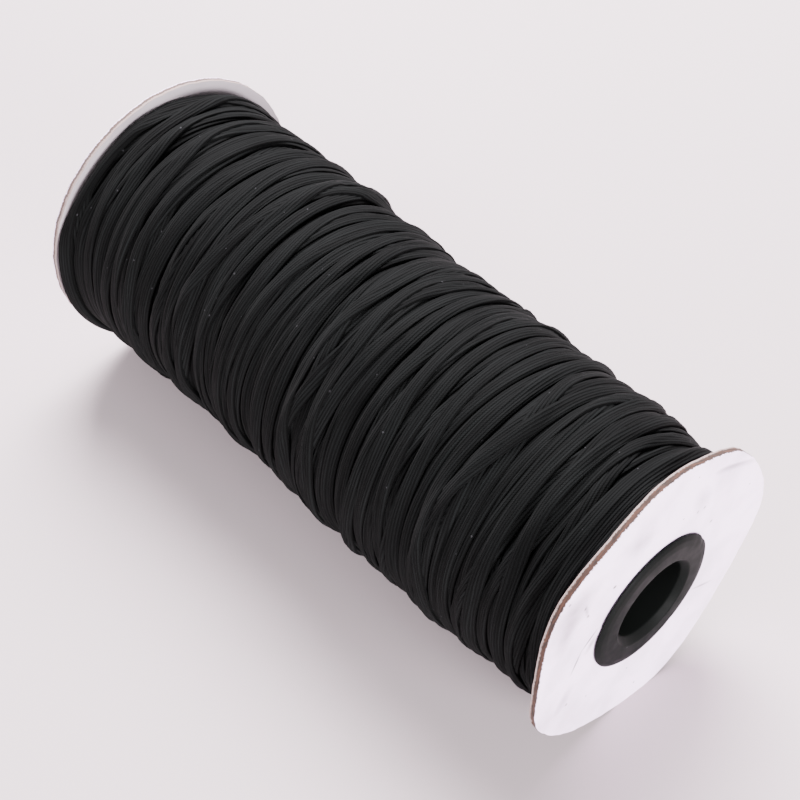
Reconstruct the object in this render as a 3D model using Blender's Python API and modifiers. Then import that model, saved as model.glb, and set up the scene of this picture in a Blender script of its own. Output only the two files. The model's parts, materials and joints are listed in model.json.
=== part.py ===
"""Reel of flat braided elastic, lying on its side.

Two card discs are held on the ends of a plastic tube by flanged bushes, and one long narrow band is
wound back and forth between them. The reel's axis lies along X, the near disc is at +X, and the discs
stand on the surface at z = 0. All sizes are in metres.
"""

import math
from collections import namedtuple

import bmesh
import bpy

MM = 0.001

# ---- driving sizes ----------------------------------------------------------------------------
REEL_LENGTH = 150.0 * MM        # over the outer faces of the two card discs
DISC_RADIUS = 32.5 * MM
DISC_THICKNESS = 1.5 * MM
FLAT_DEPTH = 0.3 * MM           # how far the bottom of a disc is pressed flat by standing on it
GAP = 0.3 * MM                  # clearance between two pieces that touch in the real reel
MIDDLE_X = -0.6 * MM            # the skewed near disc reaches out further, so the middle sits back

TUBE_OUTER_RADIUS = 12.3 * MM
TUBE_WALL = 2.0 * MM
SLEEVE_RADIUS = 10.0 * MM       # the bush's sleeve, a push fit in the tube
SLEEVE_LENGTH = 14.0 * MM
BORE_RADIUS = 8.8 * MM
MOUTH_RADIUS = 10.4 * MM        # wide end of the bore's chamfer
MOUTH_DEPTH = 1.3 * MM
FLANGE_RADIUS = 15.5 * MM
FLANGE_TOP_RADIUS = 13.8 * MM   # where the flange's flat ring ends and its slope begins
FLANGE_HEIGHT = 1.0 * MM
FLANGE_EDGE = 0.25 * MM         # thickness left at the foot of the slope

AXIS_HEIGHT = DISC_RADIUS - FLAT_DEPTH
DISC_HOLE_RADIUS = SLEEVE_RADIUS + GAP
TUBE_INNER_RADIUS = TUBE_OUTER_RADIUS - TUBE_WALL
WINDING_HOLE_RADIUS = TUBE_OUTER_RADIUS + GAP
DISC_INNER_X = REEL_LENGTH / 2 - DISC_THICKNESS
WINDING_END_GAP = 0.45 * MM     # a little more than GAP, because the warped disc is faceted

# ---- warp of the card discs -------------------------------------------------------------------
# Each row is one wave around the rim: how many times it rises and falls, how far it moves the rim
# along the axis at most, and the angle of its highest point, counted from +Y towards +Z. A wave with
# no rise and fall dishes the whole rim.
Wave = namedtuple("Wave", "lobes height peak_degrees")
NEAR_DISC_WAVES = (
    Wave(1, 1.27 * MM, 174.5),
    Wave(2, 0.22 * MM, 4.0),
    Wave(3, 0.28 * MM, 50.0),
    Wave(4, 0.42 * MM, 8.0),
    Wave(6, 0.23 * MM, 58.0),
    Wave(7, 0.16 * MM, 17.0),
)
FAR_DISC_WAVES = (
    Wave(0, 0.68 * MM, 0.0),
    Wave(2, 0.08 * MM, 110.0),
    Wave(5, 0.10 * MM, 53.0),
)
WARP_START_RADIUS = FLANGE_RADIUS
WARP_CURVE = 1.6                # how late the warp sets in between the bush and the rim
DISC_RINGS = tuple(radius * MM for radius in (19.0, 23.0, 26.5, 29.5))

# ---- wound form of the band -------------------------------------------------------------------
# Each row is one station along the axis: its place, the mean radius of the winding there, and how
# far the winding is heaped to its heavier side.
HEAP_DEGREES = 209.0            # the heavier side, low towards -Y, counted from +Y towards +Z
Station = namedtuple("Station", "x radius heap")
WINDING_STATIONS = (
    Station(-73.2 * MM, 30.1 * MM, 1.7 * MM),
    Station(-70.0 * MM, 29.9 * MM, 1.2 * MM),
    Station(-66.0 * MM, 29.4 * MM, 0.3 * MM),
    Station(-58.0 * MM, 29.8 * MM, 0.4 * MM),
    Station(-45.0 * MM, 29.7 * MM, 0.1 * MM),
    Station(-30.0 * MM, 29.2 * MM, -0.1 * MM),
    Station(-9.0 * MM, 28.7 * MM, 0.4 * MM),
    Station(12.0 * MM, 29.4 * MM, 0.8 * MM),
    Station(24.0 * MM, 29.1 * MM, 0.5 * MM),
    Station(34.0 * MM, 29.1 * MM, 0.5 * MM),
    Station(45.0 * MM, 29.5 * MM, 0.4 * MM),
    Station(59.0 * MM, 28.9 * MM, -0.1 * MM),
    Station(67.0 * MM, 27.8 * MM, 0.3 * MM),
    Station(73.2 * MM, 26.4 * MM, 0.2 * MM),
)
# The band is laid in bunches of neighbouring turns that slant across each other. Each row is one run
# of bunches: their spacing along the axis, how many spacings one turn advances (a negative number
# slants the other way), how high a bunch stands, and where the run starts, as a share of a spacing.
Run = namedtuple("Run", "spacing advance height start")
BUNCH_RUNS = (
    Run(9.6 * MM, 2, 1.5 * MM, 0.10),
    Run(13.0 * MM, -2, 1.6 * MM, 0.55),
    Run(16.0 * MM, 1, 1.3 * MM, 0.30),
)
SWAY_LENGTH = 47.0 * MM         # distance over which the bunches drift to and fro
SWAY_SHARE = 0.22               # how far they drift, as a share of a spacing
SWAY_STAGGER = 9.0              # radians by which a run's start shifts its drift
CREST_SHARPNESS = 0.8           # under 1 the bunches are round and the valleys between them narrow
MEAN_SHARE = 0.7                # mean height of the bunches, as a share of the highest run
LOWEST_WINDING = 0.4 * MM       # height of the winding above the surface at its lowest
WINDING_COLUMNS = 72            # faces along the axis
WINDING_STEPS = 48              # faces around the axis
WINDING_END_RINGS = tuple(radius * MM for radius in (18.0, 23.0))

TUBE_STEPS = 32
DISC_STEPS = 48
BUSH_STEPS = 40

# ---- colours and finishes ---------------------------------------------------------------------
BAND_COLOUR = "26272A"
CARD_COLOUR = "F0ECF3"
PLASTIC_COLOUR = "454443"


def linear(hex_colour):
    """Linear red, green, blue and alpha of an sRGB colour."""
    channels = []
    for start in (0, 2, 4):
        value = int(hex_colour[start:start + 2], 16) / 255
        channels.append(value / 12.92 if value <= 0.04045 else ((value + 0.055) / 1.055) ** 2.4)
    return (*channels, 1.0)


def material(name, hex_colour, roughness):
    finish = bpy.data.materials.new(name)
    finish.use_nodes = True
    finish.diffuse_color = linear(hex_colour)
    shader = finish.node_tree.nodes["Principled BSDF"]
    shader.inputs["Base Color"].default_value = linear(hex_colour)
    shader.inputs["Roughness"].default_value = roughness
    shader.inputs["Metallic"].default_value = 0.0
    return finish


def new_collection(name):
    collection = bpy.data.collections.new(name)
    bpy.context.scene.collection.children.link(collection)
    return collection


def turned(name, outline, steps, finish, collection):
    """A ring turned about the object's Z axis from a closed outline of (radius, z) points.

    The outline runs down its outer side and back up its inner side.
    """
    mesh = bpy.data.meshes.new(name)
    corners = [(radius, 0.0, z) for radius, z in outline]
    edges = [(index, (index + 1) % len(corners)) for index in range(len(corners))]
    mesh.from_pydata(corners, edges, [])
    piece = bpy.data.objects.new(name, mesh)
    collection.objects.link(piece)
    screw = piece.modifiers.new("turn", "SCREW")
    screw.axis = "Z"
    screw.angle = 2 * math.pi
    screw.steps = steps
    screw.render_steps = steps
    screw.use_merge_vertices = True
    screw.merge_threshold = 0.00001
    mesh.materials.append(finish)
    return piece


def freeze(piece):
    """Replace the object's mesh with what its modifiers make of it."""
    bpy.context.view_layer.update()
    evaluated = piece.evaluated_get(bpy.context.evaluated_depsgraph_get())
    frozen = bpy.data.meshes.new_from_object(evaluated)
    outline = piece.data
    piece.modifiers.clear()
    piece.data = frozen
    bpy.data.meshes.remove(outline)
    frozen.name = piece.name


def shade_round(piece, degrees):
    piece.data.shade_smooth()
    piece.data.set_sharp_from_angle(angle=math.radians(degrees))


def lay_on_side(piece, x, facing):
    """Turn the piece's Z axis to +X (facing 1) or -X (facing -1) and put it at x on the reel's axis."""
    piece.rotation_euler = (0.0, facing * math.pi / 2, 0.0)
    piece.location = (MIDDLE_X + x, 0.0, AXIS_HEIGHT)


# ---- shape rules, in the reel's own directions: x along the axis, angle from +Y towards +Z --------
def angle_of(point):
    """Angle around the reel of a point in a piece that is laid on its side with facing 1."""
    return math.atan2(-point.x, point.y)


def warp(waves, radius, angle):
    """How far a disc is bent along +X at this radius and angle."""
    reach = (radius - WARP_START_RADIUS) / (DISC_RADIUS - WARP_START_RADIUS)
    if reach <= 0:
        return 0.0
    rim = sum(wave.height * math.cos(wave.lobes * (angle - math.radians(wave.peak_degrees)))
              for wave in waves)
    return rim * reach ** WARP_CURVE


def between_stations(x):
    """Mean radius and heap of the winding at x, eased from one station to the next."""
    if x <= WINDING_STATIONS[0].x:
        return WINDING_STATIONS[0].radius, WINDING_STATIONS[0].heap
    for low, high in zip(WINDING_STATIONS, WINDING_STATIONS[1:]):
        if x <= high.x:
            share = (x - low.x) / (high.x - low.x)
            ease = share * share * (3 - 2 * share)
            radius = low.radius + ease * (high.radius - low.radius)
            heap = low.heap + ease * (high.heap - low.heap)
            return radius, heap
    return WINDING_STATIONS[-1].radius, WINDING_STATIONS[-1].heap


def bunch_height(x, angle):
    """Height of the bunches over the valleys between them: the highest run shows on top."""
    highest = 0.0
    for run in BUNCH_RUNS:
        sway = SWAY_SHARE * math.sin(2 * math.pi * x / SWAY_LENGTH + angle + run.start * SWAY_STAGGER)
        turns = x / run.spacing + run.advance * angle / (2 * math.pi) + run.start + sway
        crest = abs(math.sin(math.pi * turns)) ** CREST_SHARPNESS
        highest = max(highest, run.height * crest)
    return highest


MEAN_BUNCH_HEIGHT = MEAN_SHARE * max(run.height for run in BUNCH_RUNS)


def winding_radius(x, angle):
    radius, heap = between_stations(x)
    radius += heap * math.cos(angle - math.radians(HEAP_DEGREES))
    radius += bunch_height(x, angle) - MEAN_BUNCH_HEIGHT
    down = -math.sin(angle)
    if down > 0.5:
        radius = min(radius, (AXIS_HEIGHT - LOWEST_WINDING) / down)
    return radius


# ---- the pieces -------------------------------------------------------------------------------
def make_tube(finish, collection):
    """The plastic tube that the band is wound on."""
    half = DISC_INNER_X - GAP
    outline = [
        (TUBE_OUTER_RADIUS, half),
        (TUBE_OUTER_RADIUS, -half),
        (TUBE_INNER_RADIUS, -half),
        (TUBE_INNER_RADIUS, half),
    ]
    tube = turned("core_tube", outline, TUBE_STEPS, finish, collection)
    freeze(tube)
    shade_round(tube, 40)
    lay_on_side(tube, 0.0, 1)


def make_disc(name, side, waves, finish, collection, floor_cutter):
    """A thick card disc, punched round, warped by the load of the band and flat where it stands."""
    half = DISC_THICKNESS / 2
    rings = [DISC_HOLE_RADIUS, WARP_START_RADIUS, *DISC_RINGS, DISC_RADIUS]
    upper = [(radius, half) for radius in rings]
    lower = [(radius, -half) for radius in reversed(rings)]
    disc = turned(name, upper + lower, DISC_STEPS, finish, collection)
    freeze(disc)
    for vertex in disc.data.vertices:
        radius = math.hypot(vertex.co.x, vertex.co.y)
        vertex.co.z += warp(waves, radius, angle_of(vertex.co))
    lay_on_side(disc, side * (DISC_INNER_X + half), 1)
    flat = disc.modifiers.new("flat where it stands", "BOOLEAN")
    flat.operation = "DIFFERENCE"
    flat.solver = "EXACT"
    flat.object = floor_cutter
    shade_round(disc, 40)


def make_bush(name, side, finish, collection):
    """A moulded bush: a flange that holds the disc, and a sleeve that is pushed into the tube."""
    outline = [
        (FLANGE_TOP_RADIUS, FLANGE_HEIGHT),
        (FLANGE_RADIUS, FLANGE_EDGE),
        (FLANGE_RADIUS, 0.0),
        (SLEEVE_RADIUS, 0.0),
        (SLEEVE_RADIUS, -SLEEVE_LENGTH),
        (BORE_RADIUS, -SLEEVE_LENGTH),
        (BORE_RADIUS, FLANGE_HEIGHT - MOUTH_DEPTH),
        (MOUTH_RADIUS, FLANGE_HEIGHT),
    ]
    bush = turned(name, outline, BUSH_STEPS, finish, collection)
    freeze(bush)
    shade_round(bush, 30)
    lay_on_side(bush, side * (REEL_LENGTH / 2 + GAP), side)


def make_winding(finish, collection):
    """The band as wound: one heaped, bunched form around the tube, its ends lying on the discs."""
    end = DISC_INNER_X - WINDING_END_GAP
    places = [end - 2 * end * column / WINDING_COLUMNS for column in range(WINDING_COLUMNS + 1)]
    outer = [(between_stations(x)[0], x) for x in places]
    far_end = [(radius, -end) for radius in reversed(WINDING_END_RINGS)]
    near_end = [(radius, end) for radius in WINDING_END_RINGS]
    hole = [(WINDING_HOLE_RADIUS, -end), (WINDING_HOLE_RADIUS, end)]
    outline = outer + far_end + hole + near_end
    winding = turned("winding", outline, WINDING_STEPS, finish, collection)
    freeze(winding)
    for vertex in winding.data.vertices:
        x = vertex.co.z
        angle = angle_of(vertex.co)
        radius = math.hypot(vertex.co.x, vertex.co.y)
        if radius > WINDING_END_RINGS[-1] + GAP:
            radius = winding_radius(x, angle)
        vertex.co.x = -radius * math.sin(angle)
        vertex.co.y = radius * math.cos(angle)
        near_share = (x + end) / (2 * end)
        near_bend = warp(NEAR_DISC_WAVES, radius, angle)
        far_bend = warp(FAR_DISC_WAVES, radius, angle)
        vertex.co.z = x + near_share * near_bend + (1 - near_share) * far_bend
    lay_on_side(winding, 0.0, 1)
    winding.data.shade_smooth()


def make_floor_cutter(collection):
    """A block under the surface, which takes the bottom of each disc off flat."""
    depth = 10 * MM
    mesh = bpy.data.meshes.new("floor_cutter")
    block = bmesh.new()
    bmesh.ops.create_cube(block, size=1.0)
    bmesh.ops.scale(block, vec=(REEL_LENGTH * 1.2, DISC_RADIUS * 2, depth), verts=block.verts)
    block.to_mesh(mesh)
    block.free()
    cutter = bpy.data.objects.new("floor_cutter", mesh)
    cutter.location = (0.0, 0.0, -depth / 2)
    cutter.hide_render = True
    cutter.display_type = "WIRE"
    collection.objects.link(cutter)
    return cutter


def build():
    for old in list(bpy.data.objects):
        bpy.data.objects.remove(old, do_unlink=True)
    reel = new_collection("reel_of_elastic")
    cutters = new_collection("cutters")
    floor_cutter = make_floor_cutter(cutters)

    braided_elastic = material("braided elastic", BAND_COLOUR, 0.75)
    lined_card = material("white lined card", CARD_COLOUR, 0.8)
    moulded_plastic = material("moulded plastic", PLASTIC_COLOUR, 0.45)

    make_tube(moulded_plastic, reel)
    make_winding(braided_elastic, reel)
    make_disc("disc_near", 1, NEAR_DISC_WAVES, lined_card, reel, floor_cutter)
    make_disc("disc_far", -1, FAR_DISC_WAVES, lined_card, reel, floor_cutter)
    make_bush("bush_near", 1, moulded_plastic, reel)
    make_bush("bush_far", -1, moulded_plastic, reel)


build()
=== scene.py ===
import json
import math
from collections import namedtuple

import bmesh
import bpy
import numpy as np
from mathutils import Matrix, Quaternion, Vector

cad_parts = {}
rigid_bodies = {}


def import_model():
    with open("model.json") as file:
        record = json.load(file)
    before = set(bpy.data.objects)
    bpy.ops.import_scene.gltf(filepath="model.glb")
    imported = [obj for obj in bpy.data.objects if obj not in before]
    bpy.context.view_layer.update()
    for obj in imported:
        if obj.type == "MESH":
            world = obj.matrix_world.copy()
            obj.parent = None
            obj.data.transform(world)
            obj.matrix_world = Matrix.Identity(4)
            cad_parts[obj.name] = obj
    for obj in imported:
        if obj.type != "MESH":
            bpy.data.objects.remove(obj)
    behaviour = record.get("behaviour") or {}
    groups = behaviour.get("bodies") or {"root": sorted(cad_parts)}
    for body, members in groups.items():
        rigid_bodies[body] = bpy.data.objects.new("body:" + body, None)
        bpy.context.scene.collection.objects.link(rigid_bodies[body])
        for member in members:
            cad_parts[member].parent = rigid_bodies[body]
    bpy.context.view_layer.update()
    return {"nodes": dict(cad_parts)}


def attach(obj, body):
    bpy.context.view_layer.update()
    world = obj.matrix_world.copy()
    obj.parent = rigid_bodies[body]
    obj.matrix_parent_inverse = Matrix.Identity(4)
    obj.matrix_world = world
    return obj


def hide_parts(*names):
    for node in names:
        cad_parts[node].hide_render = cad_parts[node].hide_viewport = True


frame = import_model()

# ---- Viewpoint, floor and light -----------------------------------------------------------------
# The reel lies on a matt pale surface and is seen from above its near end, past the near disc.
# One large soft light stands high behind it, a second stands low in front of the near disc, and a
# weak one fills in from the left. A plain white world lifts the shadows.
MM = 0.001                      # sizes are in millimetres from here on, apart from the studio's
CAMERA_PLACE = Vector((188.4, -167.1, 298.1)) * MM
CAMERA_AIM = Vector((-16.6, 18.6, 0.0)) * MM
CAMERA_LEAN = math.radians(0.46)
CAMERA_LENS = 78.8
SENSOR_WIDTH = 36.0
CLIP_START = 0.01
FLOOR_SIDE = 3.0
FLOOR_COLOUR = "BEB1B5"
WORLD_COLOUR = "FFFFFF"
WORLD_STRENGTH = 0.42
LAMP_COLOUR = (1.0, 0.95, 0.985)     # a cool pinkish white
Lamp = namedtuple("Lamp", "name place aim side power")
LAMPS = (
    Lamp("key_light", (-0.40, 0.40, 0.75), (0, 0, 0), 0.6, 66.0),
    Lamp("front_light", (0.95, -0.16, 0.22), (0, 0, 0.03), 0.5, 45.0),
    Lamp("fill_light", (0.00, -1.00, 0.22), (0, 0, 0.03), 0.5, 16.0),
)

camera_data = bpy.data.cameras.new("camera")
camera_data.lens = CAMERA_LENS
camera_data.sensor_width = SENSOR_WIDTH
camera_data.clip_start = CLIP_START
camera = bpy.data.objects.new("camera", camera_data)
camera.location = CAMERA_PLACE
facing = (CAMERA_AIM - CAMERA_PLACE).to_track_quat("-Z", "Y")
camera.rotation_euler = (facing @ Quaternion((0, 0, 1), CAMERA_LEAN)).to_euler()
bpy.context.scene.collection.objects.link(camera)
bpy.context.scene.camera = camera


def linear(hex_colour):
    """Linear red, green, blue and alpha of an sRGB hex colour."""
    channels = []
    for start in (0, 2, 4):
        value = int(hex_colour[start:start + 2], 16) / 255
        channels.append(value / 12.92 if value <= 0.04045 else ((value + 0.055) / 1.055) ** 2.4)
    return (*channels, 1.0)


def add_node(tree, kind, links=None, **settings):
    """Add one node. A name that is an input's is set on that input, and others on the node itself.

    links gives {input name or number: output socket that feeds it}.
    """
    node = tree.nodes.new(kind)
    for name, value in settings.items():
        if name.startswith("in_"):
            key = name[3:]
            node.inputs[int(key) if key.isdigit() else key.replace("_", " ")].default_value = value
        else:
            setattr(node, name, value)
    for key, socket in (links or {}).items():
        tree.links.new(socket, node.inputs[key])
    return node


def new_material(name):
    """A material with its node tree and its shader."""
    material = bpy.data.materials.new(name)
    material.use_nodes = True
    tree = material.node_tree
    return material, tree, tree.nodes["Principled BSDF"]


def deselect():
    """Deselect everything, because an operator acts on all that is selected."""
    for item in bpy.context.view_layer.objects:
        item.select_set(False)


deselect()
bpy.ops.mesh.primitive_plane_add(size=FLOOR_SIDE, location=(0, 0, 0))
floor = bpy.context.object
floor.name = "floor"
floor_material, tree, shader = new_material("matt pale floor")
shader.inputs["Base Color"].default_value = linear(FLOOR_COLOUR)
shader.inputs["Roughness"].default_value = 0.9
floor.data.materials.append(floor_material)

for lamp in LAMPS:
    light = bpy.data.lights.new(lamp.name, "AREA")
    light.shape = "SQUARE"
    light.size = lamp.side
    light.energy = lamp.power
    light.color = LAMP_COLOUR
    stand = bpy.data.objects.new(lamp.name, light)
    stand.location = lamp.place
    facing = (Vector(lamp.aim) - Vector(lamp.place)).to_track_quat("-Z", "Y")
    stand.rotation_euler = facing.to_euler()
    bpy.context.scene.collection.objects.link(stand)
world = bpy.data.worlds.new("studio")
world.use_nodes = True
background = world.node_tree.nodes["Background"]
background.inputs["Color"].default_value = linear(WORLD_COLOUR)
background.inputs["Strength"].default_value = WORLD_STRENGTH
bpy.context.scene.world = world

# ---- Core tube ----------------------------------------------------------------------------------
# The plastic tube that the band is wound on. Only its bore shows, deep inside the near bush.
# It keeps its CAD shape and takes a dark moulded finish.
TUBE_COLOUR = "101011"
GRAIN = 0.2                     # size of the grain of the moulded surface

tube = frame["nodes"]["core_tube"]
# black plastic, moulded from mixed waste: dull, with a fine grain that scatters what light gets in
tube_material, tree, shader = new_material("recycled black plastic")
shader.inputs["Base Color"].default_value = linear(TUBE_COLOUR)
shader.inputs["Roughness"].default_value = 0.6
place = add_node(tree, "ShaderNodeTexCoord").outputs["Object"]
grain = add_node(tree, "ShaderNodeTexNoise", {"Vector": place}, in_Scale=1 / (GRAIN * MM))
bump = add_node(tree, "ShaderNodeBump", {"Height": grain.outputs[0]}, in_Strength=0.2, in_Distance=0.0001)
tree.links.new(bump.outputs[0], shader.inputs["Normal"])
tube.data.materials.clear()
tube.data.materials.append(tube_material)

# ---- Card discs ---------------------------------------------------------------------------------
# Two discs of brown greyboard, 1.5 mm thick, with white paper liner glued on both faces. They were
# punched out, so the brown core shows at the rim. Handling has bent the near one and creased it.
AXIS_HEIGHT = 32.2              # of the reel's axis over the floor
MIDDLE_X = -0.6                 # middle of the reel along its axis
DISC_RADIUS = 32.5
DISC_HOLE = 10.3
DISC_THICKNESS = 1.5
DISC_INNER_X = 73.5             # from the reel's middle to each disc's inner face
LINER = 0.17                    # thickness of the paper on each face
DISC_ROUNDING = 0.072           # of the corners
DISC_STEPS = 320
DISC_GRID = 0.6                 # length that a disc's faces are divided to, so that it bends softly
RIM_BAND = 0.1                  # faces this near the disc's radius belong to its cut edge
FLAT_DEPTH = 0.3                # how far the disc is pressed flat where it stands
DISC_SMOOTH_ANGLE = math.radians(40)
LINER_COLOUR = "F2DDF8"
SHADED_INNER_LINER_COLOUR = "9C9499"   # painted shade: the inner faces are greyed all over for the shade of the winding beside them
# grey of the smears and specks, and of the painted shade along the crease
SMUDGE_AND_SHADE_COLOUR = "4A4043"
BOARD_COLOUR = "46281A"
BOARD_DARK = "1C110C"
FRAYED_COLOUR = "8F7E7B"       # paper dragged over the board by the punch
Wave = namedtuple("Wave", "lobes height peak_degrees")
NEAR_DISC_WAVES = (
    Wave(1, 0.80, 204.0),
    Wave(2, 0.22, 4.0),
    Wave(3, 0.28, 50.0),
    Wave(4, 0.42, 8.0),
    Wave(6, 0.23, 58.0),
    Wave(7, 0.16, 17.0),
)
FAR_DISC_WAVES = (
    Wave(0, 0.68, 0.0),
    Wave(2, 0.08, 110.0),
    Wave(5, 0.10, 53.0),
)
NEAR_TILT = 0.045               # how far the near bush and its disc lean, as a slope
NEAR_TILT_ANGLE = math.radians(140.0)
WARP_START_RADIUS = 15.5
WARP_CURVE = 1.6
CREASE_PLACE = (21.0, 20.9)     # y and z from the reel's axis, near the rim
CREASE_ANGLE = math.radians(150)
CREASE_WIDTH = 0.9
CREASE_LENGTH = 7.5
CREASE_DEPTH = 0.45
CREASE_LIFT = 0.20              # how far the corner beyond the crease is lifted
CREASE_LIFT_REACH = 3.0
CREASE_LIFT_LENGTH = 9.0
RIPPLE_START = 31.0             # radius where the punched edge starts to be uneven
RIPPLE_REACH = 1.5
Ripple = namedtuple("Ripple", "depth lobes phase")
RIPPLES = (Ripple(0.05, 23, 1.0), Ripple(0.04, 41, 2.5), Ripple(0.03, 67, 0.0))
MOTTLE_SIZE = 11.11             # of the liner's faint grey clouds
PAPER_FIBRE_SIZE = 1.4286       # drawn far coarser than real fibres, as the render needs
SPECK_SPACING = 3.0             # size of the cells of which some hold one dark fibre of the paper
SPECK_RADIUS = 0.13             # of the largest, as a share of its cell
BOARD_FIBRE_SIZE = 2.0          # of clumps of fibre, six times flatter across the board
RAGGED_SIZE = 0.4167            # of the teeth of torn paper along the cut edge
RAGGEDNESS = 0.5                # their depth, as a share of the board's thickness
Mark = namedtuple("Mark", "y z length width degrees strength")   # half length and half width
NEAR_MARKS_AND_CREASE_SHADE = (                  # smears, scratches and specks on the near disc's outer face; the last two are painted shade along its crease
    Mark(-22.6, 16.6, 8.0, 5.0, 38, 0.55),
    Mark(-24.5, 11.0, 5.0, 3.0, 60, 0.35),
    Mark(-19.4, 13.8, 2.6, 0.6, 100, 0.40),
    Mark(-18.9, 12.1, 0.6, 0.4, 100, 0.8),
    Mark(-19.9, 15.0, 0.6, 0.4, 60, 0.6),
    Mark(-17.6, 3.6, 3.2, 0.45, 40, 1.0),
    Mark(-20.8, -0.8, 3.6, 0.45, 68, 1.0),
    Mark(-16.9, 1.4, 3.0, 1.2, 62, 0.55),
    Mark(-12.5, 15.0, 0.6, 0.5, 0, 1.3),
    Mark(15.4, 9.9, 0.5, 0.4, 0, 1.0),
    Mark(12.0, 16.9, 0.5, 0.4, 20, 0.8),
    Mark(9.9, 17.3, 0.5, 0.4, 50, 0.8),
    Mark(10.8, 20.0, 5.0, 3.0, 110, 0.34),
    Mark(18.0, -12.9, 5.0, 0.45, 152, 0.6),
    Mark(-22.6, -11.2, 4.6, 2.2, 64, 0.42),
    Mark(-7.5, 22.5, 5.0, 3.2, 150, 0.30),
    # painted shade: these two lie along the crease and draw its shadow line
    Mark(18.0, 22.6, 6.0, 1.0, 150, 0.50),
    Mark(23.6, 19.4, 6.0, 0.9, 150, 0.50),
)


def near_lean(radius, angle):
    """How far the crooked near bush and the disc under it lean along +X."""
    return NEAR_TILT * np.minimum(radius, WARP_START_RADIUS) * np.cos(angle - NEAR_TILT_ANGLE)


def disc_bend(waves, radius, angle):
    """How far a card disc is bent along +X at this radius and angle. The near one also leans."""
    reach = np.clip((radius - WARP_START_RADIUS) / (DISC_RADIUS - WARP_START_RADIUS), 0, None)
    rim = sum(w.height * np.cos(w.lobes * (angle - math.radians(w.peak_degrees))) for w in waves)
    bend = rim * reach ** WARP_CURVE
    if waves is NEAR_DISC_WAVES:
        bend = bend + near_lean(radius, angle)
    return bend


def turned_ring(name, outline, rounding, steps, longest=None):
    """A closed ring spun about the reel's axis from (x, radius) corners, which are rounded first.

    Straight lines of the outline longer than longest are divided, so that they can be bent later.
    """
    deselect()
    bpy.ops.mesh.primitive_circle_add(vertices=len(outline), fill_type="NOTHING")
    ring = bpy.context.object
    ring.name = name
    for vertex, (x, radius) in zip(ring.data.vertices, outline):
        vertex.co = (x * MM, 0, (AXIS_HEIGHT + radius) * MM)
    bpy.ops.object.mode_set(mode="EDIT")
    bpy.ops.mesh.select_mode(type="EDGE")
    bpy.ops.mesh.select_all(action="SELECT")
    if rounding:
        bpy.ops.mesh.bevel(affect="VERTICES", offset=rounding * MM, segments=3)
    if longest:
        bpy.ops.mesh.select_all(action="DESELECT")
        form = bmesh.from_edit_mesh(ring.data)
        for edge in list(form.edges):
            length = edge.calc_length() / MM
            if length > longest:
                bmesh.ops.subdivide_edges(form, edges=[edge], cuts=int(length / longest))
        bmesh.update_edit_mesh(ring.data)
    bpy.ops.mesh.select_all(action="SELECT")
    bpy.ops.mesh.spin(
        steps=steps, angle=2 * math.pi, center=(0, 0, AXIS_HEIGHT * MM), axis=(1, 0, 0)
    )
    bpy.ops.mesh.select_all(action="SELECT")
    bpy.ops.mesh.remove_doubles(threshold=0.000001)
    bpy.ops.mesh.normals_make_consistent(inside=False)
    bpy.ops.object.mode_set(mode="OBJECT")
    return ring


def places_of(piece):
    """The piece's vertices in millimetres from the reel's middle, and their radius and angle."""
    places = np.zeros(len(piece.data.vertices) * 3)
    piece.data.vertices.foreach_get("co", places)
    places = places.reshape(-1, 3) / MM - (MIDDLE_X, 0, AXIS_HEIGHT)
    return places, np.hypot(places[:, 1], places[:, 2]), np.arctan2(places[:, 2], places[:, 1])


def put_places(piece, places):
    """Move the piece's vertices to these places, in millimetres from the reel's middle."""
    places = (places + (MIDDLE_X, 0, AXIS_HEIGHT)) * MM
    piece.data.vertices.foreach_set("co", places.reshape(-1))
    piece.data.update()


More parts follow.
